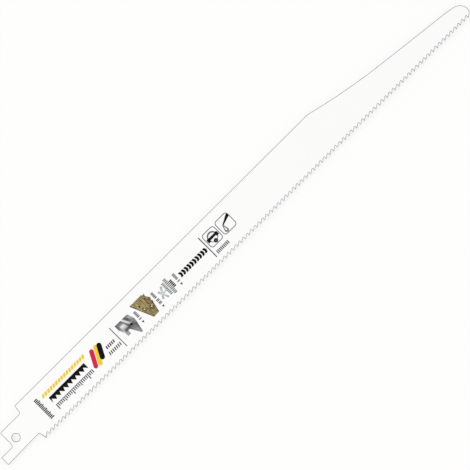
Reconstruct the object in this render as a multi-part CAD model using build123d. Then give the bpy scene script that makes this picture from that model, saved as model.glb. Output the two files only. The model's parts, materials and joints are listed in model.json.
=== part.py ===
"""Reciprocating saw blade, 300 mm long, with a half inch tang and 10 teeth to the inch.

One flat strip of steel: a tang with a pin hole and a finger, a straight toothed body, and a back
that tapers in a long hollow to a rounded nose. It lies in the XY plane, with X from the pin hole
towards the nose, Y towards the back of the blade and Z through its thickness. The origin is the
centre of the pin hole, half way through the strip. All sizes are in millimetres.
"""
import math
import os

from build123d import *

# Strip
blade_length = 300.0          # end of the finger to the end of the nose
thickness = 1.6
edge_break = 0.18             # bevel on every edge but those of the teeth

# Tang
hole_diameter = 3.8
hole_to_top = 6.67            # hole centre to the top edge of the tang
hole_to_lobe_end = 3.75
tang_width = 12.7             # at the heel, where the tang meets the toothed edge
tang_draft = 1.3              # degrees that the lower edge falls towards the finger
finger_length = 7.68          # past the end of the lobe
finger_width = 4.6            # at its end
crotch_radius = 1.3           # inner corner between the lobe and the finger

# Shoulders, where the tang meets the body
back_step = 4.27              # back edge above the top edge of the tang
shoulder_to_hole = 9.38
shoulder_lean = 5.7           # degrees
shoulder_radius = 1.3
heel_step = 3.92              # tooth points below the lower edge of the tang, at the heel
heel_to_hole = 9.07
heel_lean = 11.3              # degrees
heel_radius = 0.95

# Teeth
tooth_pitch = 2.509
tooth_back_angle = 36.0       # degrees between the back of a tooth and the line of points
gullet_radius = 0.29
tooth_set = 0.25              # how far the point of a set tooth stands out sideways
bend_below_gullet = 0.19      # from the top of a gullet down to the line the teeth bend about
set_pattern = (0, 1, -1)      # straight, left and right, over and over
last_tooth_to_nose = 2.6      # least room left between the last point and the end of the nose

# Nose and tapered back
nose_radius = 5.0
nose_centre_rise = 3.36       # centre of the nose arc above the line of points
nose_top_angle = 76.8         # degrees round the nose arc at which the arc ends
snub_radius = 52.0            # flatter arc that leads from the nose arc into the taper
taper_run = 36.1              # straight part of the tapered back
taper_angle = 6.5             # degrees
hollow_radius = 320.0         # hollow part of the tapered back
taper_corner_radius = 5.0

# Edges and corners that follow from these sizes
tang_top = hole_to_top
back_edge = tang_top + back_step
tang_bottom = tang_top - tang_width
tooth_line = tang_bottom - heel_step
lobe_end = -hole_to_lobe_end
finger_end = lobe_end - finger_length
nose_end = finger_end + blade_length

finger_bottom = tang_bottom - (heel_to_hole - finger_end) * math.tan(math.radians(tang_draft))
finger_top = finger_bottom + finger_width
shoulder_top = shoulder_to_hole + back_step * math.tan(math.radians(shoulder_lean))
first_point = heel_to_hole + heel_step * math.tan(math.radians(heel_lean))
back_slope = math.tan(math.radians(tooth_back_angle))
gullet_depth = (tooth_pitch - gullet_radius) * back_slope
gullet_depth += gullet_radius - gullet_radius / math.cos(math.radians(tooth_back_angle))
bend_height = gullet_depth - bend_below_gullet
tooth_count = int((nose_end - last_tooth_to_nose - first_point) / tooth_pitch) + 1
tooth_points = [first_point + i * tooth_pitch for i in range(tooth_count)]
set_teeth = {
    i: set_pattern[i % len(set_pattern)]
    for i in range(1, tooth_count - 1)
    if set_pattern[i % len(set_pattern)]
}


def outline():
    """The strip's outline, with its toothed edge still a straight line through the points."""
    nose_centre = (nose_end - nose_radius, tooth_line + nose_centre_rise)
    nose_low_angle = -math.degrees(math.asin(nose_centre_rise / nose_radius))
    nose_arc = CenterArc(nose_centre, nose_radius, nose_low_angle, nose_top_angle - nose_low_angle)

    # The tapered back, from the nose towards the tang, each part tangent to the one before
    snub_centre = nose_arc @ 1 - Vector(snub_radius, 0).rotate(Axis.Z, nose_top_angle)
    snub_arc = CenterArc(
        snub_centre, snub_radius, nose_top_angle, 90 - taper_angle - nose_top_angle
    )
    run_end = snub_arc @ 1 + Vector(-taper_run, 0).rotate(Axis.Z, -taper_angle)
    turn = math.radians(taper_angle)
    hollow_x = run_end.X + hollow_radius * math.sin(turn)
    hollow_y = run_end.Y + hollow_radius * math.cos(turn)
    steepest = math.degrees(math.acos((hollow_y - back_edge) / hollow_radius))
    hollow_arc = CenterArc(
        (hollow_x, hollow_y), hollow_radius, -90 - taper_angle, taper_angle - steepest
    )
    taper_start = hollow_arc @ 1

    shoulder = (shoulder_to_hole, tang_top)
    crotch = (lobe_end, finger_top)
    heel = (heel_to_hole, tang_bottom)
    taper = Line(snub_arc @ 1, run_end)
    tang = Polyline(
        taper_start,
        (shoulder_top, back_edge),
        shoulder,
        (lobe_end, tang_top),
        crotch,
        (finger_end, finger_top),
        (finger_end, finger_bottom),
        heel,
        (first_point, tooth_line),
        nose_arc @ 0,
    )
    shape = make_face([nose_arc, snub_arc, taper, hollow_arc, tang])

    rounded = (
        (shoulder, shoulder_radius),
        (crotch, crotch_radius),
        (heel, heel_radius),
        ((taper_start.X, taper_start.Y), taper_corner_radius),
    )
    for corner, radius in rounded:
        shape = fillet(shape.vertices().sort_by_distance((*corner, 0))[0], radius)
    return shape


def gullet():
    """What the cutter takes out between one point, at the local origin, and the next."""
    corner = (tooth_pitch, tooth_pitch * back_slope)
    notch = make_face(Polyline((0, 0), (tooth_pitch, 0), corner, close=True))
    return fillet(notch.vertices().sort_by(Axis.Y)[-1], gullet_radius)


def last_back():
    """What is cut away below the back of the last tooth, out through the nose."""
    reach = nose_end - tooth_points[-1] + tooth_pitch
    return make_face(Polyline((0, 0), (reach, 0), (reach, reach * back_slope), close=True))


def bent_band():
    """The band under the bend line, one pitch long, that holds a single tooth at the origin."""
    return Pos(-gullet_radius, 0) * Rectangle(tooth_pitch, bend_height, align=Align.MIN)


def blank():
    """The strip with all its gullets, but without the part of each set tooth that is bent."""
    shape = outline() - Circle(hole_diameter / 2)
    at_points = [Pos(x, tooth_line) for x in tooth_points]
    shape -= [place * gullet() for place in at_points[:-1]]
    shape -= at_points[-1] * last_back()
    shape -= [at_points[i] * bent_band() for i in set_teeth]
    solid = extrude(shape, amount=thickness / 2, both=True)

    gullet_top = tooth_line + gullet_depth
    broken = [
        edge
        for edge in solid.edges()
        if abs(edge.center().Z) > thickness / 2 - edge_break and edge.center().Y > gullet_top
    ]
    return chamfer(broken, edge_break)


def bent_tooth(side):
    """The bent part of a tooth whose point leans to one side, with its root at the origin.

    Its profile stands on a plane that is tilted about the bend line, and is carried straight
    through the thickness, so the root matches the strip and the flanks lean.
    """
    profile = bent_band() - gullet() - Pos(-tooth_pitch, 0) * gullet()
    lean = math.degrees(math.asin(tooth_set / bend_height))
    tilted = Pos(0, 0, -thickness / 2) * Rot(-side * lean, 0, 0) * Pos(0, -bend_height) * profile
    return extrude(tilted, amount=thickness, dir=(0, 0, 1))


def blade():
    """The whole blade: the blank with its set teeth."""
    bend_line = tooth_line + bend_height
    leaning = {side: bent_tooth(side) for side in set(set_teeth.values())}
    teeth = [Pos(tooth_points[i], bend_line) * leaning[side] for i, side in set_teeth.items()]
    return blank() + teeth


os.makedirs("parts", exist_ok=True)
export_step(blade(), "parts/blade.step")
print("teeth", tooth_count, "length", round(nose_end - finger_end, 3))
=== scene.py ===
# %% [markdown]
# # A reciprocating saw blade
#
# The object is one strip of steel, 300 mm long and 1.6 mm thick, coated white and printed on one
# side. Its solid, with the tang, the pin hole, the 111 set teeth and the tapered back, comes from
# the CAD model and stays as it is. This lesson gives it what a solid lacks: a camera and light, a
# coating with the steel showing where the coating stops, and the print.

# %% The frame
import json
import math

import bpy
import numpy as np
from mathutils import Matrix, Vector


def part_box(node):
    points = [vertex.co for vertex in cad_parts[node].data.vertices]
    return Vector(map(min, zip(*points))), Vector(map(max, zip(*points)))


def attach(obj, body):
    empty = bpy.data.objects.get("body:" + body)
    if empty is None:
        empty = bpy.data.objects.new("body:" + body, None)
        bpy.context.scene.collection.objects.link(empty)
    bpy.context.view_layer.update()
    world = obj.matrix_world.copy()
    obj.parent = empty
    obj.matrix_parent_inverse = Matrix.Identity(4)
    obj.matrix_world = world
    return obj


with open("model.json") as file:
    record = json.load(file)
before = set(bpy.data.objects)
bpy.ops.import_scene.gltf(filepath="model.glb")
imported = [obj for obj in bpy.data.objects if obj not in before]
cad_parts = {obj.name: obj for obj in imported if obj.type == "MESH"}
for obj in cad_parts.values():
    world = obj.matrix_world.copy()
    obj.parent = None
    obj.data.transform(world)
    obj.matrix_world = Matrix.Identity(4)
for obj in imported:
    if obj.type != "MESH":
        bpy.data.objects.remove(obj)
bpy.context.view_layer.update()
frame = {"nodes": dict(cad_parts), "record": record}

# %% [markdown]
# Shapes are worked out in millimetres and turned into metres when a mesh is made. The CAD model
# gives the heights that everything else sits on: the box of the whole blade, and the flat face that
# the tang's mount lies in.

MM = 0.001
blade = frame["nodes"]["blade"]
low, high = (np.array(corner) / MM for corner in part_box("blade"))
mounts = {mount["name"]: mount for mount in frame["record"]["mounts"]}
face_height = mounts["tang_face"]["pos_m"][2] / MM
floor_height = low[2]
print("blade from", low.round(2), "to", high.round(2), "with its face at", face_height)

# %% [markdown]
# ## Camera
#
# The picture looks straight down on the printed face, with the blade lying from the lower left to
# the upper right. A camera without perspective would do for this one view. A long lens far away
# keeps the sides of the strip out of sight just as well, and other views still look natural. Its
# distance follows from how many millimetres the picture is wide. The Standard view transform shows
# each colour as it is written, where others would turn the white coating grey.

# %% Camera
PICTURE_WIDTH = 217.8
PICTURE_CENTRE = (138.17, -5.0)
BLADE_TURN = math.radians(44.85)
LENS = 400.0
SENSOR = 36.0
NEAR_LIMIT, FAR_LIMIT = 0.01, 20       # metres

camera = bpy.data.objects.new("camera", bpy.data.cameras.new("camera"))
camera.data.lens = LENS
camera.data.sensor_width = SENSOR
camera_height = face_height + PICTURE_WIDTH * LENS / SENSOR
camera.location = (PICTURE_CENTRE[0] * MM, PICTURE_CENTRE[1] * MM, camera_height * MM)
camera.rotation_euler = (0, 0, -BLADE_TURN)
camera.data.clip_start, camera.data.clip_end = NEAR_LIMIT, FAR_LIMIT
bpy.context.scene.collection.objects.link(camera)
bpy.context.scene.camera = camera
bpy.context.scene.view_settings.view_transform = "Standard"
print("camera", round(camera_height), "mm up, with a picture", PICTURE_WIDTH, "mm wide")

# %% [markdown]
# ## Shader maths
#
# A finish is easier to read as a formula than as a web of nodes. This class wraps one output
# socket. Arithmetic on it adds Math nodes, and every other node comes from one method.

# %% Sockets as numbers
class Wire:
    """An output socket of a material's nodes, which can be used like a number."""

    def __init__(self, tree, socket=None):
        self.tree = tree
        self.socket = socket

    def node(self, kind, settings=None, values=None, output=None):
        """Adds a node: its settings first, then its sockets, and gives back one of its outputs."""
        made = self.tree.nodes.new("ShaderNode" + kind)
        for name, value in (settings or {}).items():
            setattr(made, name, value)
        for name, value in (values or {}).items():
            socket = next(s for s in made.inputs if name in (s.identifier, s.name))
            if isinstance(value, Wire):
                self.tree.links.new(value.socket, socket)
            else:
                socket.default_value = value
        found = [s for s in made.outputs if output in (None, s.identifier, s.name)]
        return Wire(self.tree, found[0] if found else None)

    def math(self, operation, *terms):
        """Adds a Math node that works on one or two terms."""
        return self.node("Math", {"operation": operation}, dict(zip(("Value", "Value_001"), terms)))

    def __add__(self, other):
        return self.math("ADD", self, other)

    def __radd__(self, other):
        return self.math("ADD", other, self)

    def __sub__(self, other):
        return self.math("SUBTRACT", self, other)

    def __rsub__(self, other):
        return self.math("SUBTRACT", other, self)

    def __mul__(self, other):
        return self.math("MULTIPLY", self, other)

    def __rmul__(self, other):
        return self.math("MULTIPLY", other, self)

    def __gt__(self, other):
        return self.math("GREATER_THAN", self, other)

    def mix(self, colour_a, colour_b):
        """A colour that goes from the first to the second as this number goes from 0 to 1."""
        values = {"Factor_Float": self, "A_Color": colour_a, "B_Color": colour_b}
        return self.node("Mix", {"data_type": "RGBA"}, values, "Result_Color")


def colour(red, green, blue):
    """A colour from its 0 to 255 screen values, in the linear light that shaders work in."""
    screen = np.array([red, green, blue]) / 255
    linear = np.where(screen < 0.04045, screen / 12.92, ((screen + 0.055) / 1.055) ** 2.4)
    return (*linear, 1.0)


def noise(place, size, detail=2.0):
    """Smooth random values from 0 to 1 whose blobs are about `size` millimetres across."""
    values = {"Vector": place, "Scale": 1 / (size * MM), "Detail": detail}
    return place.node("TexNoise", values=values, output="Fac")


def stretched(place, factors, turn=0.0):
    """Object coordinates turned about Z and scaled, so that a pattern gets long one way."""
    values = {"Vector": place, "Rotation": (0, 0, turn), "Scale": factors}
    return place.node("Mapping", {"vector_type": "TEXTURE"}, values)


def new_material(name, paint):
    """A material whose Principled sockets are what `paint` works out from Object coordinates."""
    material = bpy.data.materials.new(name)
    material.use_nodes = True
    tree = material.node_tree
    shader = tree.nodes["Principled BSDF"]
    place = Wire(tree).node("TexCoord", output="Object")
    for socket, value in paint(place).items():
        if isinstance(value, Wire):
            tree.links.new(value.socket, shader.inputs[socket])
        else:
            shader.inputs[socket].default_value = value
    return material


def seen_share(tree):
    """1 for rays that show a thing straight, in a reflection or through glass, and 0 for the others."""
    rays = tree.nodes.new("ShaderNodeLightPath")
    seen = Wire(tree, rays.outputs["Is Camera Ray"])
    for kind in ("Is Glossy Ray", "Is Transmission Ray"):
        seen = seen.math("MAXIMUM", seen, Wire(tree, rays.outputs[kind]))
    return seen


print("a mid grey is", round(colour(128, 128, 128)[0], 3), "in linear light")

# %% [markdown]
# ## Table and light
#
# The blade lies on a plain white table. More light would make the table white too, but it would wash
# out the coating. So to the camera and to reflections the table mostly glows as bright as paper, and
# the rest of its brightness is real light, which keeps the strip's soft shadow. An even white
# surround and one large soft lamp light the blade at a plain level, where a colour shows about as it
# is written.

# %% Table
TABLE_SIZE = 6000.0
TABLE_PAINT = (0.95, 0.95, 0.945, 1)
TABLE_GLOW = (1, 1, 0.995, 1)
GLOW_SHARE = 0.82

table_mesh = bpy.data.meshes.new("table")
half = TABLE_SIZE / 2 * MM
table_height = floor_height * MM
table_corners = [(-half, -half), (half, -half), (half, half), (-half, half)]
table_mesh.from_pydata([(x, y, table_height) for x, y in table_corners], [], [(0, 1, 2, 3)])
table = bpy.data.objects.new("table", table_mesh)
bpy.context.scene.collection.objects.link(table)

paper = bpy.data.materials.new("paper")
paper.use_nodes = True
nodes, links = paper.node_tree.nodes, paper.node_tree.links
nodes.clear()
lit = nodes.new("ShaderNodeBsdfDiffuse")
lit.inputs["Color"].default_value = TABLE_PAINT
glow = nodes.new("ShaderNodeEmission")
glow.inputs["Color"].default_value = TABLE_GLOW
blend = nodes.new("ShaderNodeMixShader")
end = nodes.new("ShaderNodeOutputMaterial")
links.new((seen_share(paper.node_tree) * GLOW_SHARE).socket, blend.inputs[0])
links.new(lit.outputs[0], blend.inputs[1])
links.new(glow.outputs[0], blend.inputs[2])
links.new(blend.outputs[0], end.inputs["Surface"])
table_mesh.materials.append(paper)
print("table", round(2 * half, 1), "m wide, at a height of", round(floor_height, 2), "mm")

# %% Surround
SURROUND_LEVEL = 0.78

world = bpy.data.worlds.new("surround")
bpy.context.scene.world = world
world.use_nodes = True
level = seen_share(world.node_tree) * (1 - SURROUND_LEVEL) + SURROUND_LEVEL
background = world.node_tree.nodes["Background"]
background.inputs["Color"].default_value = (1, 1, 1, 1)
world.node_tree.links.new(level.socket, background.inputs["Strength"])
print("surround lights the blade with", SURROUND_LEVEL, "and shows as 1")

# %% Lamp
LAMP_LEVEL = 1 - SURROUND_LEVEL
LAMP_SIZE = 1200.0
LAMP_PLACE = np.array([-2200.0, 2600.0, 3000.0])

lamp_data = bpy.data.lights.new("lamp", "AREA")
lamp_data.shape = "DISK"
lamp_data.size = LAMP_SIZE * MM
toward = np.array([PICTURE_CENTRE[0], 0, 0]) - LAMP_PLACE
distance = np.linalg.norm(toward) * MM
lean = -toward[2] * MM / distance
# The lamp's light on a level surface is its power over pi times the distance squared, times the lean.
lamp_data.energy = LAMP_LEVEL * math.pi**2 * distance**2 / lean
lamp = bpy.data.objects.new("lamp", lamp_data)
lamp.location = LAMP_PLACE * MM
lamp.rotation_euler = Vector(toward).to_track_quat("-Z", "Y").to_euler()
bpy.context.scene.collection.objects.link(lamp)
print("lamp", round(lamp_data.energy, 2), "W at", round(distance, 2), "m")

# %% [markdown]
# ## Coating and bare steel
#
# A blade like this is coated white before its teeth are ground, so the flat faces are white and
# everything cut later is bare: the bevels, the walls, the tooth flanks and the inside of the hole.
# Two materials could share out the triangles, but one material does it without touching the mesh:
# which of the two a point shows follows from how much its surface faces up or down. The coating has
# the fine orange peel of sprayed paint, and the steel has grinding lines.

# %% Coating
WHITE = colour(252, 252, 252)
WARM_WHITE = colour(250, 250, 249)
STEEL = colour(150, 150, 152)
DARK_STEEL = colour(112, 112, 115)
STEEL_ROUGHNESS, STEEL_SPREAD = 0.3, 0.2
COATING_ROUGHNESS, COATING_SPREAD = 0.36, 0.08
GRINDING_WIDTH = 0.12
GRINDING_STRETCH = 8
FLAT_FACE = 0.9            # the least that a flat face looks up or down, of at most 1
CLOUD_SIZE = 30.0
SHEEN_SIZE = 6.0
PEEL_SIZE = 0.9
PEEL_HEIGHT = 0.02
PEEL_STRENGTH = 0.12


def ground_steel(place, along):
    """A colour and a roughness with grinding lines: noise drawn out along one axis."""
    lines = noise(stretched(place, along), GRINDING_WIDTH)
    return lines.mix(DARK_STEEL, STEEL), STEEL_ROUGHNESS + STEEL_SPREAD * lines


def coating(place):
    """White on the flat faces and bare steel where the surface turns away from them."""
    normal = place.node("TexCoord", output="Normal")
    facing = normal.node("SeparateXYZ", values={"Vector": normal}, output="Z")
    flat = facing.math("ABSOLUTE", facing) > FLAT_FACE
    cloud = noise(place, CLOUD_SIZE)
    steel, steel_roughness = ground_steel(place, (1, 1, GRINDING_STRETCH))
    paint_roughness = COATING_ROUGHNESS + COATING_SPREAD * noise(place, SHEEN_SIZE)
    peel = {"Height": flat * noise(place, PEEL_SIZE), "Strength": PEEL_STRENGTH, "Distance": PEEL_HEIGHT * MM}
    bump = place.node("Bump", values=peel)
    return {
        "Base Color": flat.mix(steel, cloud.mix(WARM_WHITE, WHITE)),
        "Metallic": 1 - flat,
        "Roughness": flat * paint_roughness + (1 - flat) * steel_roughness,
        "Normal": bump,
    }


blade.data.materials.clear()
blade.data.materials.append(new_material("white_coating", coating))
print("coating on", blade.name, "with", len(blade.data.polygons), "triangles")

# %% [markdown]
# ## Bare line along the edge
#
# The coating doesn't reach the very edge of the strip: seen from above, a thin grey line follows
# the whole outline, the hole and every tooth. A material can't tell how far a point is from the edge,
# so the line is a narrow ribbon that lies on the flat face. Its outer side is the rim of the face,
# found in the CAD mesh as the triangle sides that only one flat triangle has. Each corner of the rim
# moves inwards along its mitre to give the inner side.

# %% Thin films
FILM_UNDER = 0.01          # how far a film reaches into the face, so that no gap shows
FILM_OVER = 0.02           # how far it stands out
SHARPEST = 0.25            # limit on one plus the product of two normals, at a very sharp corner


def add_piece(name, points, faces, material, slot):
    """A mesh piece from points in millimetres, which rides on the blade.

    A fourth column of the points, if there is one, becomes the attribute `tone`.
    """
    points = np.asarray(points)
    mesh = bpy.data.meshes.new(name)
    mesh.from_pydata((points[:, :3] * MM).tolist(), [], [list(face) for face in faces])
    if points.shape[1] == 4:
        mesh.attributes.new("tone", "FLOAT", "POINT").data.foreach_set("value", points[:, 3])
    mesh.materials.append(material)
    mesh.update()
    piece = bpy.data.objects.new(name, mesh)
    bpy.context.scene.collection.objects.link(piece)
    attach(piece, "root")
    return piece


def unit(vectors):
    """Each row divided by its length."""
    return vectors / np.linalg.norm(vectors, axis=-1, keepdims=True)


def mitre(before, after, width):
    """How far a corner moves to stay `width` from both of its sides.

    It is the sum of the two sides' normals times the width, divided by one plus their product.
    """
    product = (before * after).sum(axis=1, keepdims=True)
    return width * (before + after) / np.maximum(1 + product, SHARPEST)


def joined(start, stop, count, rings):
    """Quads from each ring of `count` points to the next, and from the last back to the first."""
    near = np.arange(rings)[:, None] * count
    far = np.roll(near, -1, axis=0)
    return np.stack([start + near, stop + near, stop + far, start + far], axis=2).reshape(-1, 4)


def hoop(outer, inner, up, start, stop):
    """A closed band between two rows of points: its top, inner wall, underside and outer wall."""
    section = [
        outer + up * FILM_OVER,
        inner + up * FILM_OVER,
        inner - up * FILM_UNDER,
        outer - up * FILM_UNDER,
    ]
    return np.concatenate(section), joined(start, stop, len(outer), len(section)).tolist()


print("a film reaches from", -FILM_UNDER, "to", FILM_OVER, "mm about the face")

# %% Rim of a flat face
WELD_DIGITS = 7            # corners are one corner if they agree to so many decimals of a metre
SLIVER = 1e-14             # twice the area, in square metres, of the least triangle that counts


def rim(node, side):
    """The rim of a node's flat face on one side: points, directed edges, and where each edge looks.

    A triangle belongs to the face if its normal times `side` is nearly straight up. Of its sides,
    the rim has those whose reverse belongs to no other such triangle. An edge looks inwards along
    the triangle's normal crossed with the edge.
    """
    mesh = node.data
    mesh.calc_loop_triangles()
    corners = np.empty(len(mesh.vertices) * 3, np.float32)
    mesh.vertices.foreach_get("co", corners)
    triangles = np.empty(len(mesh.loop_triangles) * 3, np.int32)
    mesh.loop_triangles.foreach_get("vertices", triangles)
    corners = corners.reshape(-1, 3).round(WELD_DIGITS)
    points, index = np.unique(corners, axis=0, return_inverse=True)
    triangles = index.reshape(-1)[triangles].reshape(-1, 3)
    a, b, c = (points[triangles[:, k]] for k in range(3))
    crossed = np.cross(b - a, c - a)
    twice_area = np.linalg.norm(crossed, axis=1)
    normal = crossed / np.maximum(twice_area, SLIVER)[:, None]
    kept = (side * normal[:, 2] > FLAT_FACE) & (twice_area > SLIVER)
    sides = np.concatenate([triangles[kept][:, [k, (k + 1) % 3]] for k in range(3)])
    normals = np.tile(normal[kept], (3, 1))
    key = sides[:, 0] * len(points) + sides[:, 1]
    reverse = sides[:, 1] * len(points) + sides[:, 0]
    outer = ~np.isin(key, reverse)
    edges, normals = sides[outer], normals[outer]
    along = unit(points[edges[:, 1]] - points[edges[:, 0]])
    return points / MM, edges, np.cross(normals, along), normals


print("the rim of the upper face has", len(rim(blade, 1)[1]), "edges")

# %% Ribbon
TOOTH_LINE_WIDTH = 0.2     # beside the ground teeth
EDGE_LINE_WIDTH = 0.05     # beside the bevels
TOOTH_BAND = 1.65          # height of the teeth above the line of their points


def ribbon(name, side, material):
    """A hoop that follows the rim, wider along the teeth than elsewhere."""
    points, edges, inward, normals = rim(blade, side)
    before, after, up = (np.zeros_like(points) for _ in range(3))
    after[edges[:, 0]] = inward
    before[edges[:, 1]] = inward
    up[edges[:, 0]] = normals
    used = np.unique(edges)
    at_teeth = points[used, 1:2] < low[1] + TOOTH_BAND
    width = np.where(at_teeth, TOOTH_LINE_WIDTH, EDGE_LINE_WIDTH)
    outer = points[used]
    inner = outer + mitre(before[used], after[used], width)
    start, stop = (np.searchsorted(used, edges[:, k]) for k in range(2))
    print(name, "has", len(edges), "edges")
    return add_piece(name, *hoop(outer, inner, up[used], start, stop), material, "bare_steel")


def bare_steel(place):
    """Ground steel: grinding lines across the strip."""
    steel, roughness = ground_steel(place, (1, GRINDING_STRETCH, 1))
    return {"Base Color": steel, "Metallic": 1.0, "Roughness": roughness}


steel = new_material("bare_steel", bare_steel)
ribbon("bare_line_upper", 1, steel)
ribbon("bare_line_under", -1, steel)

# %% [markdown]
# ## The print
#
# Everything printed on the blade is a film of ink a few hundredths of a millimetre thick. An image on
# the face would do from afar. Films stay sharp at any distance, and each ink keeps its own gloss. A
# film is one of three kinds. A plate has any closed outline, given as an array of points. A picture
# is made of several outlines that lie side by side. A band lies between two outlines, like a ring.
# The words and marks of a real blade aren't drawn: simple marks of about the same size and colour
# stand in their places.

# %% Plates, pictures and bands
def turns_left(outline):
    """Whether a closed row of points runs counter-clockwise, from twice the area it encloses."""
    following = np.roll(outline, -1, axis=0)
    return (outline[:, 0] * following[:, 1] - outline[:, 1] * following[:, 0]).sum() > 0


def raised(outline, height):
    """A row of flat points, and of their tones if they have them, at one height."""
    return np.insert(np.asarray(outline, float), 2, height, axis=1)


def picture(shapes, layers=1):
    """One closed film from flat shapes side by side: their feet, their tops and a wall round them all.

    Where a side of one shape runs the other way in another shape, the two touch, and no wall stands
    between them. The top is as high as so many layers of ink, so that one film can lie on another.
    """
    shapes = [np.asarray(shape, float) for shape in shapes]
    flat = np.concatenate([shape if turns_left(shape) else shape[::-1] for shape in shapes])
    count = len(flat)
    ends = np.cumsum([len(shape) for shape in shapes])
    rows = [np.arange(end - len(shape), end) for end, shape in zip(ends, shapes)]
    near = np.arange(count)
    far = np.concatenate([np.roll(row, -1) for row in rows])
    place = np.unique(flat[:, :2].round(6), axis=0, return_inverse=True)[1].reshape(-1)
    outside = ~np.isin(place[near] * count + place[far], place[far] * count + place[near])
    wall = np.stack([near, far, far + count, near + count], axis=1)[outside]
    foot = raised(flat, face_height - FILM_UNDER)
    top = raised(flat, face_height + FILM_OVER * layers)
    faces = [row[::-1].tolist() for row in rows] + [(row + count).tolist() for row in rows]
    return np.concatenate([foot, top]), wall.tolist() + faces


def plate(outline, layers=1):
    """A film with one closed outline."""
    return picture([outline], layers)


def band(outer, inner):
    """A film between two closed outlines that have as many points as each other."""
    outer, inner = raised(outer, face_height), raised(inner, face_height)
    if not turns_left(outer):
        outer, inner = outer[::-1], inner[::-1]
    index = np.arange(len(outer))
    up = np.zeros_like(outer)
    up[:, 2] = 1
    return hoop(outer, inner, up, index, np.roll(index, -1))


def stroke(path, width, layers=1):
    """A line of ink along an open path, with half of its width to each side."""
    path = np.asarray(path, float)
    ahead = unit(np.diff(path, axis=0))
    normal = np.stack([-ahead[:, 1], ahead[:, 0]], axis=1)
    before, after = np.vstack([normal[:1], normal]), np.vstack([normal, normal[-1:]])
    side = mitre(before, after, np.broadcast_to(width, len(path))[:, None] / 2)
    return plate(np.concatenate([path - side, (path + side)[::-1]]), layers)


def print_piece(name, films, material, slot):
    """One piece from several films."""
    starts = np.cumsum([0] + [len(points) for points, faces in films])
    points = np.concatenate([points for points, faces in films])
    faces = [[k + start for k in face] for start, (_, some) in zip(starts, films) for face in some]
    print(name, "has", len(films), "films and", len(faces), "faces")
    return add_piece(name, points, faces, material, slot)


print("a plate with four corners has", len(plate([(0, 0), (1, 0), (1, 1), (0, 1)])[1]), "faces")

# %% [markdown]
# The outlines come from a few rules. An arc is a cosine and a sine over a row of angles. A rounded
# bar is four quarter arcs, one in each corner, and leaning it moves each point along by a share of
# its height. A printed bar never has quite sharp corners.

# %% Outlines
CORNER = 0.09


def arc(centre, radius, start, end, count=24):
    """Points on a circle from one angle to another, in degrees."""
    angle = np.radians(np.linspace(start, end, count))
    return np.asarray(centre) + radius * np.stack([np.cos(angle), np.sin(angle)], axis=1)


def circle(centre, radius, count=40):
    """All round a circle, without its first point twice."""
    return arc(centre, radius, 0, 360, count + 1)[:-1]


def turned(points, centre, degrees):
    """Points turned counter-clockwise about a centre: each one times a rotation matrix."""
    angle = math.radians(degrees)
    matrix = np.array([[math.cos(angle), math.sin(angle)], [-math.sin(angle), math.cos(angle)]])
    return (points - centre) @ matrix + centre


def ellipse(centre, half_length, half_width, degrees, layers=2):
    """A film with the outline of a circle that is stretched one way and turned."""
    level = circle((0, 0), 1, 24) * (half_length, half_width)
    return plate(turned(level, (0, 0), degrees) + centre, layers)


def bar(left, right, bottom, top, lean=0.0, corner=CORNER, count=4):
    """A bar with rounded corners whose top is moved along by `lean`."""
    turns = (0, 90, 180, 270)
    centres = (
        (right - corner, top - corner), (left + corner, top - corner),
        (left + corner, bottom + corner), (right - corner, bottom + corner),
    )
    points = np.concatenate([arc(c, corner, t, t + 90, count) for c, t in zip(centres, turns)])
    points[:, 0] += lean * (points[:, 1] - bottom) / (top - bottom)
    return points


def rungs(left, right, bottom, top, count, share, lengths=(1.0,)):
    """Bars one above the other, each `share` of the pitch high, with lengths taken in turn."""
    pitch = (top - bottom) / (count - 1 + share)
    return [
        plate(bar(left, left + (right - left) * lengths[k % len(lengths)], y, y + share * pitch))
        for k, y in enumerate(bottom + pitch * np.arange(count))
    ]


def bar_row(starts, width, bottom, top, lean=0.0):
    """Bars of one size side by side, each from one of the starts."""
    return [plate(bar(x, x + width, bottom, top, lean)) for x in starts]


print("a bar's outline has", len(bar(0, 1, 0, 1)), "points")

# %% [markdown]
# ## Inks
#
# Screen ink on a coating is nearly flat, with faint clouds of thicker and thinner ink, a few specks
# and a soft gloss. An even colour would look like plastic from near by, so one recipe gives all the
# plain inks their clouds and specks. Inks that model a form take a tone from each point, so one
# piece can have light, middle and dark faces that run into each other.

# %% Inks
INK_SHINE = 0.08
INK_ROUGHNESS, INK_SPREAD = 0.45, 0.15
INK_CLOUD = 3.0
SPECK_SIZE, SPECK_HEIGHT, SPECK_STRENGTH = 0.12, 0.01, 0.1
GRAIN_TURN = math.radians(-66)


def ink(name, thin, thick):
    """An ink whose colour drifts between two shades in clouds, with fine grain in its gloss."""

    def paint(place):
        cloud = noise(place, INK_CLOUD)
        specks = noise(place, SPECK_SIZE, detail=4.0)
        shade = 0.5 * cloud + 0.5 * specks
        grain = {"Height": specks, "Strength": SPECK_STRENGTH, "Distance": SPECK_HEIGHT * MM}
        bump = place.node("Bump", values=grain)
        return {
            "Base Color": shade.mix(thin, thick),
            "Roughness": INK_ROUGHNESS + INK_SPREAD * specks,
            "Specular IOR Level": INK_SHINE,
            "Normal": bump,
        }

    return new_material(name, paint)


def toned_ink(name, dark, light, streaks=6.0, size=0.4, share=0.2):
    """An ink that goes from dark to light with the tone, with streaks along the grain.

    The streaks add to the tone, or take from it, up to half of their share.
    """

    def paint(place):
        tone = place.node("Attribute", {"attribute_name": "tone"}, output="Fac")
        lines = noise(stretched(place, (streaks, 1, 1), GRAIN_TURN), size, detail=3.0)
        shade = tone + share * (lines - 0.5)
        return {
            "Base Color": shade.mix(dark, light),
            "Roughness": INK_ROUGHNESS + INK_SPREAD * lines,
            "Specular IOR Level": INK_SHINE,
        }

    return new_material(name, paint)


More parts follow.
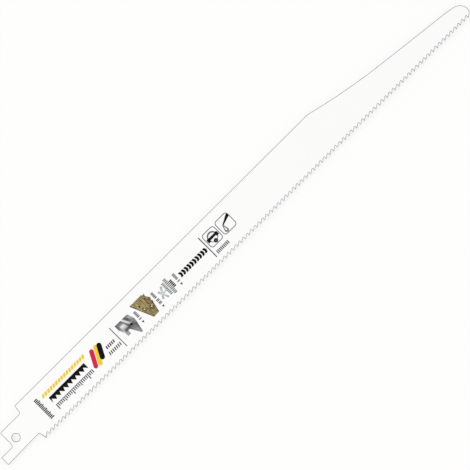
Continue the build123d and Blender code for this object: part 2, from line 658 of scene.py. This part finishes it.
# %% Colours of the inks
black_ink = ink("black_ink", colour(14, 14, 15), colour(5, 5, 6))
dark_grey_ink = ink("dark_grey_ink", colour(92, 92, 96), colour(70, 70, 74))
grey_ink = ink("grey_ink", colour(128, 128, 134), colour(100, 100, 106))
yellow_ink = ink("yellow_ink", colour(246, 214, 60), colour(238, 198, 40))
red_ink = ink("red_ink", colour(224, 54, 98), colour(194, 26, 54))
steel_ink = toned_ink("steel_ink", colour(58, 58, 60), colour(227, 227, 228))
dark_timber, bright_timber = colour(84, 66, 34), colour(205, 187, 134)
timber_ink = toned_ink("timber_ink", dark_timber, bright_timber, streaks=2.2, size=0.9, share=1.5)
brown_ink = ink("brown_ink", colour(96, 76, 38), colour(72, 56, 26))
pale_ink = ink("pale_ink", colour(238, 230, 198), colour(216, 206, 168))
blue_ink = toned_ink("blue_ink", colour(88, 94, 98), colour(222, 234, 238))
print(sum(material.name.endswith("ink") for material in bpy.data.materials), "inks")

# %% [markdown]
# ## Marks by the tang
#
# The first group sits just past the shoulders: a ladder of black bars across the blade, a row of
# leaning yellow bars by the back, a bold black bar toothed like the blade, and a fine millimetre
# scale under it. Screen printing lays down any flat shape in one pass. Shapes that could be words
# from afar are kept out, so each mark is a plain pattern with an even rhythm.

# %% Ladder
LADDER_LENGTHS = (1, 0.82, 0.82)

ladder = rungs(left=17.6, right=19.9, bottom=-5.4, top=6.2, count=15, share=0.68, lengths=LADDER_LENGTHS)
print_piece("ladder", ladder, black_ink, "black_ink")

# %% Yellow bars
YELLOW_COUNT = 16
YELLOW_PITCH = 1.72
YELLOW_START = 21.4

yellow_starts = YELLOW_START + YELLOW_PITCH * np.arange(YELLOW_COUNT)
yellow_bars = bar_row(yellow_starts, width=1.36, bottom=3.9, top=5.6, lean=0.9)
print_piece("yellow_bars", yellow_bars, yellow_ink, "yellow_ink")

# %% [markdown]
# The toothed bar and the scale could be put together from many small bars. Each is one outline
# instead, written as an array that repeats a tooth or a tick, so the ink is one film without seams.

# %% Toothed bar
STEEP_SHARE = 0.3          # share of a tooth's pitch that its steep face takes


def toothed(left, right, bottom, top, teeth, depth, layers=1):
    """A bar whose lower edge has teeth, each with a steep face and a long back."""
    pitch = (right - left) / teeth
    ends = left + pitch * np.repeat(np.arange(teeth), 2)
    ends[1::2] += STEEP_SHARE * pitch
    heights = np.tile([bottom, bottom + depth], teeth)
    edge = np.stack([ends, heights], axis=1)
    return plate(np.concatenate([edge, [(right, bottom), (right, top), (left, top)]]), layers)


toothed_bar = toothed(left=23.7, right=46.6, bottom=-0.8, top=2.4, teeth=9, depth=1.9)
print_piece("toothed_bar", [toothed_bar], black_ink, "black_ink")

# %% Millimetre scale
SCALE_TICKS = 24
SCALE_START = 23.8
SCALE_TOP = -2.2
SCALE_LINE = 0.3
TICK_WIDTH = 0.52
TEN_TICK, FIVE_TICK, TICK = 2.6, 2.0, 1.5

tick = np.arange(SCALE_TICKS)
tick_length = np.select([tick % 10 == 0, tick % 5 == 0], [TEN_TICK, FIVE_TICK], TICK)
tick_x = SCALE_START + np.repeat(tick, 4) + TICK_WIDTH * np.tile([0, 0, 1, 1], SCALE_TICKS)
tick_y = SCALE_TOP - SCALE_LINE - np.repeat(tick_length, 4) * np.tile([0, 1, 1, 0], SCALE_TICKS)
scale_ends = [(tick_x[-1], SCALE_TOP), (tick_x[0], SCALE_TOP)]
scale = plate(np.concatenate([np.stack([tick_x, tick_y], axis=1), scale_ends]))
print_piece("scale", [scale], dark_grey_ink, "grey_ink")

# %% [markdown]
# ## Coloured capsules and rows of dashes
#
# Three leaning strokes with round ends, in red, yellow and black, have two rows of short grey dashes
# beside them. Each colour is printed in a pass of its own, so each is a piece of its own. A stroke
# could be a bar with two discs laid over its ends. As an outline it is only two half circles, joined
# and turned about the lower one. The black one lies over the yellow one's side, so it is a layer
# higher.

# %% Capsules
CAPSULE_TURN = 62


def capsule(x, y, length, width, layers=1):
    """A bar with round ends that leaves its foot at an angle to the blade's length."""
    level = np.concatenate([arc((x + length, y), width / 2, -90, 90), arc((x, y), width / 2, 90, 270)])
    return plate(turned(level, (x, y), CAPSULE_TURN), layers)


print_piece("red_capsule", [capsule(49.6, -2.6, length=7.0, width=2.2)], red_ink, "red_ink")
print_piece("yellow_capsule", [capsule(52.1, -3.1, length=7.8, width=2.2)], yellow_ink, "yellow_ink")
print_piece("black_capsule", [capsule(54.8, -1.7, length=5.6, width=2.4, layers=2)], black_ink, "black_ink")

# %% Dashes
DASH_PITCH = 1.1
DASH_LEAN = 0.3

upper_starts = 58.8 + DASH_PITCH * np.arange(5)
lower_starts = 58.0 + DASH_PITCH * np.arange(7)
dashes = bar_row(upper_starts, width=0.7, bottom=-0.9, top=0.7, lean=DASH_LEAN)
dashes += bar_row(lower_starts, width=0.6, bottom=-4.0, top=-2.3, lean=DASH_LEAN)
print_piece("dashes", dashes, dark_grey_ink, "grey_ink")

# %% Separators
separators = [
    plate(bar(left=66.2, right=66.62, bottom=-6.3, top=5.6)),
    plate(bar(left=124.85, right=125.35, bottom=-6.3, top=6.1)),
]
print_piece("separators", separators, dark_grey_ink, "grey_ink")

# %% [markdown]
# ## Small pictures of materials
#
# Three small pictures show what the blade cuts: a folded steel sheet, a nailed timber and thin
# pipes. On a real blade they are printed from photographs. Here they are drawn with a few flat
# shapes, which keeps them light and sharp. Each corner has a tone, from 0 for dark to 1 for light,
# and between the corners of a shape the tone runs smoothly. Two shapes that touch have the same
# corners along the side that they share, but each has its own tones there. A facet is a strip
# between two lines, cut across at some shares of their length.

# %% Facets
def toned_line(line, shares, tones):
    """Points at some shares of a straight line's length, each with its tone."""
    start, end = np.array(line)
    return np.column_stack([start + np.outer(shares, end - start), tones])


def strip(left, right):
    """Four-cornered shapes, each between two points on the left and the two beside them."""
    return list(np.stack([left[:-1], left[1:], right[1:], right[:-1]], axis=1))


def facet(left, right, shares, tones):
    """A strip between two lines, with one tone for both ends of each cut."""
    return strip(*(toned_line(line, shares, tones) for line in (left, right)))


square = facet(((0, 0), (0, 1)), ((1, 0), (1, 1)), shares=(0, 0.5, 1), tones=(0, 1, 0))
print("a square facet that is cut once has", len(square), "shapes")

# %% [markdown]
# The steel sheet hangs in five facets between its upper edge and the line where it is folded over.
# Two more facets are the long leg that points down. A mesh with shadows would need a light of its
# own, so the light and dark of the folds are in the tones. The lines below go from left to right,
# and each facet has one row of tones from its first line's start to its end.

# %% Folded steel sheet
FOLD_TOPS = ((69.7, 4.3), (71.6, 4.3), (72.25, 4.3), (73.35, 4.3), (75.1, 4.3), (76.8, 4.2))
FOLD_FEET = ((70.6, -0.2), (73.3, -0.2), (74.7, -0.2), (75.6, 0.05), (76.9, 0.35), (78.0, 0.6))
FOLD_SHARES = (0, 0.35, 0.5, 0.7, 1)
FOLD_TONES = (
    (0.12, 0.35, 1.0, 0.9, 0.3),
    (0.05, 0.2, 0.3, 0.2, 0.1),
    (0.95, 0.9, 0.9, 0.85, 0.3),
    (0.2, 0.1, 0.1, 0.2, 0.35),
    (0.25, 0.45, 0.52, 0.38, 0.25),
)
LEG_LINES = (((72.9, -1.4), (75.8, -6.4)), ((76.2, -1.26), (76.3, -6.5)), ((77.7, -1.2), (76.7, -6.3)))
LEG_SHARES = (0, 0.45, 1)
LEG_TONES = ((0.15, 0.32, 0.36), (0.1, 0.16, 0.36))

folds = list(zip(FOLD_TOPS, FOLD_FEET))
facets = [(*pair, FOLD_SHARES, tones) for *pair, tones in zip(folds, folds[1:], FOLD_TONES)]
facets += [(*pair, LEG_SHARES, tones) for *pair, tones in zip(LEG_LINES, LEG_LINES[1:], LEG_TONES)]
sheet = [shape for values in facets for shape in facet(*values)]
print("the sheet has", len(facets), "facets with", len(sheet), "shapes")

# %% Flat faces of the sheet
flange = [(70.6, -1.4, 0.8), (70.0, -1.2, 0.5), (68.7, 1.6, 0.15), (68.7, 4.3, 0.05)]
sheet.append(np.vstack([toned_line(folds[0], FOLD_SHARES, (0.15, 0.2, 0.25, 0.5, 1.0)), flange]))
front = [(70.6, -0.2, 0.2), (70.6, -1.4, 0.15), (72.0, -1.4, 0.1), (72.9, -1.4, 0.1), (74.7, -0.2, 0.0)]
sheet.append([*front, (73.3, -0.2, 0.05)])
end_face = [(74.7, -0.2, 0.0), (72.9, -1.4, 0.1), (76.2, -1.26, 0.15), (77.7, -1.2, 0.22), (78.0, 0.6, 0.35)]
sheet.append([*end_face, (76.9, 0.35, 0.35), (75.6, 0.05, 0.1)])
short_leg = [(70.2, -3.4, 0.5), (71.9, -3.4, 0.45), (72.0, -1.4, 0.35), (70.6, -1.4, 0.4)]
sheet.append([(70.0, -1.2, 0.6), *short_leg])
print_piece("steel_sheet", [picture(sheet)], steel_ink, "grey_ink")

bolt_hole = ellipse((75.05, -0.4), half_length=0.75, half_width=0.5, degrees=-35)
print_piece("bolt_hole", [bolt_hole], black_ink, "black_ink")

# %% [markdown]
# The timber shows two long faces, which meet at a seam, and a broken end. The ink alone could carry
# the whole grain, but a few drawn lines make it read as wood from afar. They run along the faces and
# bend a little. Two nails stand in dark holes, a layer higher than the grain.

# %% Timber faces
EDGE = ((80.2, 6.0), (85.1, -5.4))
SEAM = ((85.7, 6.0), (85.5, -5.4))
SIDE = ((89.0, 5.6), (88.5, -5.2))
TIMBER_SHARES = (0, 0.3, 0.6, 1)

broken_end = [
    (88.3, -5.3, 0.35), (88.8, -3.2, 0.4), (89.5, -0.2, 0.1), (89.9, 0.1, 0.0), (89.5, 1.4, 0.2),
    (90.0, 2.4, 0.05), (89.1, 3.6, 0.4), (88.7, 4.3, 0.3), (88.9, 5.7, 0.05), (88.0, 5.4, 0.35),
    (87.6, 6.0, 0.45),
]
timber = facet(EDGE, SEAM, TIMBER_SHARES, (0.5, 0.7, 0.62, 0.45))
timber.append(np.vstack([toned_line(SEAM, TIMBER_SHARES, (0.6, 0.54, 0.6, 0.48)), broken_end]))
print_piece("timber", [picture(timber)], timber_ink, "brown_ink")

# %% Timber grain
FRONT_GRAIN = (0.2, 0.36, 0.55, 0.7, 0.86)
SIDE_GRAIN = (0.2, 0.42, 0.6, 0.82)
GRAIN_SWING = 0.12
GRAIN_SHARE = 1 / 30
GRAIN_POINTS = 30
SHADED_SIDE = ((88.2, -5.2), (88.65, -3.2), (89.3, -0.3))


def grain_line(left, right, share):
    """A wavy line that stays at one share of the way from one long edge to the other.

    The wave is a sine of 12 times the share of the length, begun at 9 times the line's own share so
    that the lines differ. The line's width is a small share of the distance between the edges.
    """
    down = np.linspace(0.02, 0.98, GRAIN_POINTS)[:, None]
    a, b = (np.array(start) + down * np.subtract(end, start) for start, end in (left, right))
    path = a + share * (b - a)
    path[:, 0] += GRAIN_SWING * np.sin(12 * down[:, 0] + 9 * share)
    return stroke(path, np.linalg.norm(b - a, axis=1) * GRAIN_SHARE, layers=2)


grain = [grain_line(EDGE, SEAM, share) for share in FRONT_GRAIN]
grain += [grain_line(SEAM, SIDE, share) for share in SIDE_GRAIN]
grain += [
    stroke(EDGE, width=0.4, layers=2), stroke(SEAM, width=0.22, layers=2),
    stroke(SHADED_SIDE, width=0.3, layers=2),
]
knots = [
    ellipse((83.3, 2.7), half_length=0.6, half_width=0.4, degrees=70),
    ellipse((87.6, 3.6), half_length=0.6, half_width=0.3, degrees=95),
]
print_piece("timber_grain", grain + knots, brown_ink, "brown_ink")

# %% Nails
NAILS = (((84.1, 0.1), -50, 0.7), ((87.5, -1.2), -52, 1.1))
NAIL_LAYERS = 3


def shank(centre, degrees, length):
    """A stroke from the middle of a nail's head, at right angles to the head's long way."""
    tip = turned(np.add(centre, (0, length)), centre, degrees)
    return stroke([centre, tip], width=0.36, layers=NAIL_LAYERS)


nail_holes = [
    ellipse(centre, half_length=1.05, half_width=0.75, degrees=degrees)
    for centre, degrees, length in NAILS
]
print_piece("nail_holes", nail_holes, brown_ink, "brown_ink")
nail_heads = [
    ellipse(centre, half_length=0.5, half_width=0.3, degrees=degrees, layers=NAIL_LAYERS)
    for centre, degrees, length in NAILS
]
print_piece("nails", nail_heads + [shank(*nail) for nail in NAILS], pale_ink, "grey_ink")

# %% [markdown]
# A pipe seen from its side is light along its middle line and dark along both edges, which a strip
# of ink on each side of the middle line shows with tones alone. Its ends are darker than its middle,
# as thin pipes look where they go out of the light.

# %% Pipes
PIPE_SHARES = (0, 0.5, 1)
PIPE_MIDDLE_TONES = (0.66, 1.1, 0.66)      # a tone over 1 is as light as 1
PIPE_EDGE_TONES = (0, 0.5, 0)


def pipe(start, end, width, layers):
    """A straight pipe seen from its side: dark along both edges and light in the middle."""
    along = unit(np.subtract(end, start))
    side = np.array([-along[1], along[0]]) * width / 2
    line = np.array([start, end])
    middle = toned_line(line, PIPE_SHARES, PIPE_MIDDLE_TONES)
    edges = [toned_line(line + edge, PIPE_SHARES, PIPE_EDGE_TONES) for edge in (-side, side)]
    return picture([shape for edge in edges for shape in strip(edge, middle)], layers)


pipes = [
    pipe((93.8, -2.6), (96.9, 2.3), width=0.95, layers=2),
    pipe((94.1, 1.4), (96.4, -3.7), width=0.85, layers=1),
    pipe((95.8, -0.8), (97.5, -0.55), width=0.75, layers=1),
]
print_piece("pipes", pipes, blue_ink, "blue_ink")

# %% [markdown]
# ## Marks along the middle
#
# Beside each picture stands a size mark: a column of bars, one or two pairs of broader bars and a
# small wedge that points to the teeth. After them come columns of short bars and a row of bold
# chevrons. One function draws a column for all of them, so the bars match in their corners and gaps,
# and a row of chevrons is one outline moved along.

# %% Size marks
MARK_SHARE = 0.72          # of its pitch that each bar fills
COLUMN_HALF, COLUMN_HEIGHT = 0.7, 3.2
PAIR_HALF, PAIR_START, PAIR_PITCH = 0.85, 3.9, 1.55
WEDGE_HALF, WEDGE_HEIGHT, WEDGE_DROP = 0.7, 1.15, 2.3


def size_mark(x, top, pairs, pair_height):
    """A column of bars, some pairs of broader bars and a wedge, one under the other."""
    films = rungs(x - COLUMN_HALF, x + COLUMN_HALF, top - COLUMN_HEIGHT, top, 5, MARK_SHARE)
    heights = top - PAIR_START - PAIR_PITCH * np.arange(pairs)
    for y in heights:
        films += rungs(x - PAIR_HALF, x + PAIR_HALF, y - pair_height, y, 2, MARK_SHARE)
    tip = heights[-1] - pair_height - WEDGE_DROP
    base = tip + WEDGE_HEIGHT
    return films + [plate([(x, tip), (x + WEDGE_HALF, base), (x - WEDGE_HALF, base)])]


size_marks = size_mark(79.8, top=2.7, pairs=1, pair_height=0.6)
size_marks += size_mark(91.6, top=3.3, pairs=2, pair_height=1.1)
size_marks += size_mark(104.8, top=2.6, pairs=1, pair_height=0.6)
print_piece("size_marks", size_marks, dark_grey_ink, "grey_ink")

# %% Columns and a row of bars
columns = rungs(left=97.6, right=99.0, bottom=-3.7, top=2.9, count=9, share=0.66)
columns += rungs(left=99.3, right=101.0, bottom=-4.6, top=3.8, count=11, share=0.66)
print_piece("bar_columns", columns, grey_ink, "grey_ink")
dark_column = rungs(left=101.1, right=102.6, bottom=-2.3, top=1.5, count=5, share=0.75)
print_piece("dark_column", dark_column, black_ink, "black_ink")
row = bar_row(126.7 + 0.85 * np.arange(9), width=0.53, bottom=-5.8, top=-4.0)
print_piece("bar_row", row, dark_grey_ink, "grey_ink")

# %% Chevrons
CHEVRON_COUNT = 10
CHEVRON_PITCH = 1.75
CHEVRON_WIDTH = 1.25
CHEVRON_HALF = 1.3
CHEVRON_POINT = 0.5
FIRST_CHEVRON = np.array([106.7, -0.3])

chevron = np.array([
    (0, -CHEVRON_HALF), (CHEVRON_WIDTH, -CHEVRON_HALF), (CHEVRON_WIDTH + CHEVRON_POINT, 0),
    (CHEVRON_WIDTH, CHEVRON_HALF), (0, CHEVRON_HALF), (CHEVRON_POINT, 0),
])
chevrons = [plate(FIRST_CHEVRON + chevron + (k * CHEVRON_PITCH, 0)) for k in range(CHEVRON_COUNT)]
print_piece("chevrons", chevrons, black_ink, "black_ink")

# %% [markdown]
# ## Two framed marks
#
# The last marks stand in square frames with round corners. In one, a saw with a grip at each end
# crosses a ring. In the other, a tapered bar leans over a loop. A frame could be four bars and four
# bends. As a band between two outlines of the same kind, one a line's width inside the other, it has
# no joints, and a ring comes from the same function.

# %% Frames
FRAME_LINE = 0.36
FRAME_CORNER = 1.5


def box(x, y, width, height):
    """A square frame with round corners."""
    rows = [
        bar(x - width / 2 + d, x + width / 2 - d, y - height / 2 + d, y + height / 2 - d,
            corner=FRAME_CORNER - d, count=8)
        for d in (0, FRAME_LINE)
    ]
    return band(*rows)


def ring(x, y, radius, line, drop):
    """A circle drawn with a line that is thicker at the top, because its inner circle hangs lower."""
    return band(circle((x, y), radius), circle((x, y - drop), radius - line))


frames = [box(130.15, 1.8, width=7.7, height=7.8), box(138.8, 1.9, width=8.0, height=8.0)]
print_piece("frames", frames, dark_grey_ink, "grey_ink")

# %% Ring and loop
DOT = (130.2, -0.5)
THIN_LINE = 0.45

bend = arc((137.2, -0.45), radius=0.72, start=150, end=390, count=16)
loop = np.concatenate([[(137.2, 2.0)], bend, [(137.5, 1.9)]])
loop_width = THIN_LINE + 0.4 * np.sin(np.linspace(0, math.pi, len(loop)))
rings = [
    ring(130.2, 1.85, radius=2.65, line=0.55, drop=0.25),
    stroke(loop, loop_width),
    ellipse(DOT, half_length=0.35, half_width=0.35, degrees=0, layers=3),
]
print_piece("rings", rings, grey_ink, "grey_ink")

# %% Saw, dot and tapered bar
grips = [plate(bar(x, x + 1.5, bottom=0.6, top=2.6, corner=0.4), layers=2) for x in (126.9, 131.9)]
saw = toothed(left=128.2, right=132.1, bottom=1.05, top=2.5, teeth=6, depth=0.35, layers=2)
dot = ellipse(DOT, half_length=1.05, half_width=1.05, degrees=0)
taper = stroke([(137.2, 2.1), (142.5, 4.35)], width=[THIN_LINE, 1.65], layers=2)
print_piece("framed_marks", grips + [saw, dot, taper], black_ink, "black_ink")
